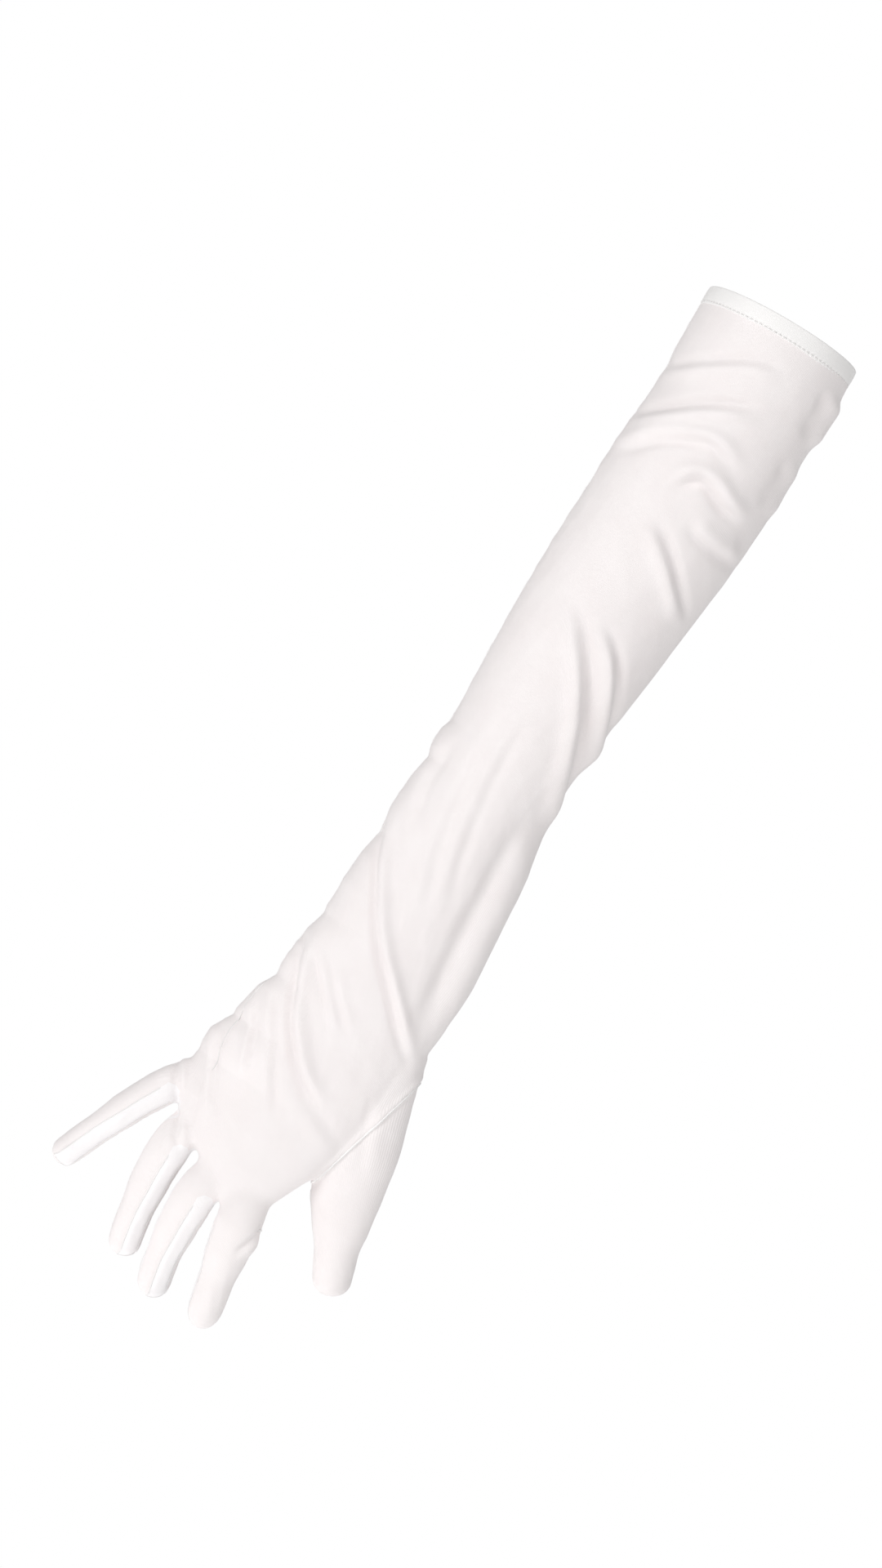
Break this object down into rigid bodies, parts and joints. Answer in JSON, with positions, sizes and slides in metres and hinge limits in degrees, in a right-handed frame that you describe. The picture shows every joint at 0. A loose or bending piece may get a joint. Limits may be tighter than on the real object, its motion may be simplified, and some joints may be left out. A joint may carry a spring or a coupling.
{
  "type": "opera glove",
  "caption": "Long stretch-satin opera glove for a right hand, open above the elbow, with set-in thumb and fourchettes, jointed at elbow, wrist and finger bases.",
  "frame": {"origin": "centre of the arm opening, level with the hem's top edge", "axes": "+Z out of the opening along the arm, -Y out of the back of the hand, +X to the thumb side"},
  "size_m": [0.1596, 0.0842, 0.5681],
  "materials": {
    "glove_cloth": "white stretch satin knit, soft sheen",
    "fourchette_cloth": "white stretch satin knit, glossier side strips",
    "hem": "white stretch satin knit, turned and stitched",
    "seam": "white closed seam",
    "stitch_thread": "white polyester thread"
  },
  "bodies": {
    "upper_arm": {"upper_sleeve": "glove_cloth", "hem_band": "hem", "hem_stitching": "stitch_thread", "upper_side_seam": "seam"},
    "forearm": {"forearm_sleeve": "glove_cloth", "forearm_side_seam": "seam"},
    "hand": {"hand_back": "glove_cloth", "hand_palm": "glove_cloth", "hand_side_seam": "seam", "thumb_root": "glove_cloth", "thumb_seam": "seam", "crotch_index_middle": "fourchette_cloth", "crotch_middle_ring": "fourchette_cloth", "crotch_ring_little": "fourchette_cloth"},
    "index": {"index_back": "glove_cloth", "index_palm": "glove_cloth", "index_fourchette_outer": "fourchette_cloth", "index_seams": "seam"},
    "middle": {"middle_back": "glove_cloth", "middle_palm": "glove_cloth", "middle_fourchette_outer": "fourchette_cloth", "middle_fourchette_inner": "fourchette_cloth", "middle_seams": "seam"},
    "ring": {"ring_back": "glove_cloth", "ring_palm": "glove_cloth", "ring_fourchette_outer": "fourchette_cloth", "ring_fourchette_inner": "fourchette_cloth", "ring_seams": "seam"},
    "little": {"little_back": "glove_cloth", "little_palm": "glove_cloth", "little_fourchette_inner": "fourchette_cloth", "little_seams": "seam"},
    "thumb": {"thumb_back": "glove_cloth", "thumb_palm": "glove_cloth", "thumb_seams": "seam"}
  },
  "joints": [
    {"name": "elbow_bend", "type": "hinge", "parent": "upper_arm", "child": "forearm", "pos_m": [-0.00465, -0.0386, -0.15], "axis": [-1, 0, 0], "range_deg": [0, 120]},
    {"name": "wrist_bend", "type": "hinge", "parent": "forearm", "child": "hand", "pos_m": [-0.009, 0.024, -0.385], "axis": [1, 0, 0], "range_deg": [0, 70]},
    {"name": "index_bend", "type": "hinge", "parent": "hand", "child": "index", "pos_m": [-0.00114, 0.00508, -0.51082], "axis": [0.8974, -0.4398, 0.0355], "range_deg": [0, 70]},
    {"name": "middle_bend", "type": "hinge", "parent": "hand", "child": "middle", "pos_m": [-0.02733, 0.01148, -0.51066], "axis": [0.9134, -0.3908, -0.1135], "range_deg": [0, 70]},
    {"name": "ring_bend", "type": "hinge", "parent": "hand", "child": "ring", "pos_m": [-0.05001, 0.01836, -0.49884], "axis": [0.9058, -0.4171, -0.0743], "range_deg": [0, 70]},
    {"name": "little_bend", "type": "hinge", "parent": "hand", "child": "little", "pos_m": [-0.06921, 0.02338, -0.47847], "axis": [0.7774, -0.4483, -0.4412], "range_deg": [0, 70]},
    {"name": "thumb_bend", "type": "hinge", "parent": "hand", "child": "thumb", "pos_m": [0.03021, 0.01938, -0.47469], "axis": [0.914, -0.0683, 0.3999], "range_deg": [0, 50]}
  ]
}
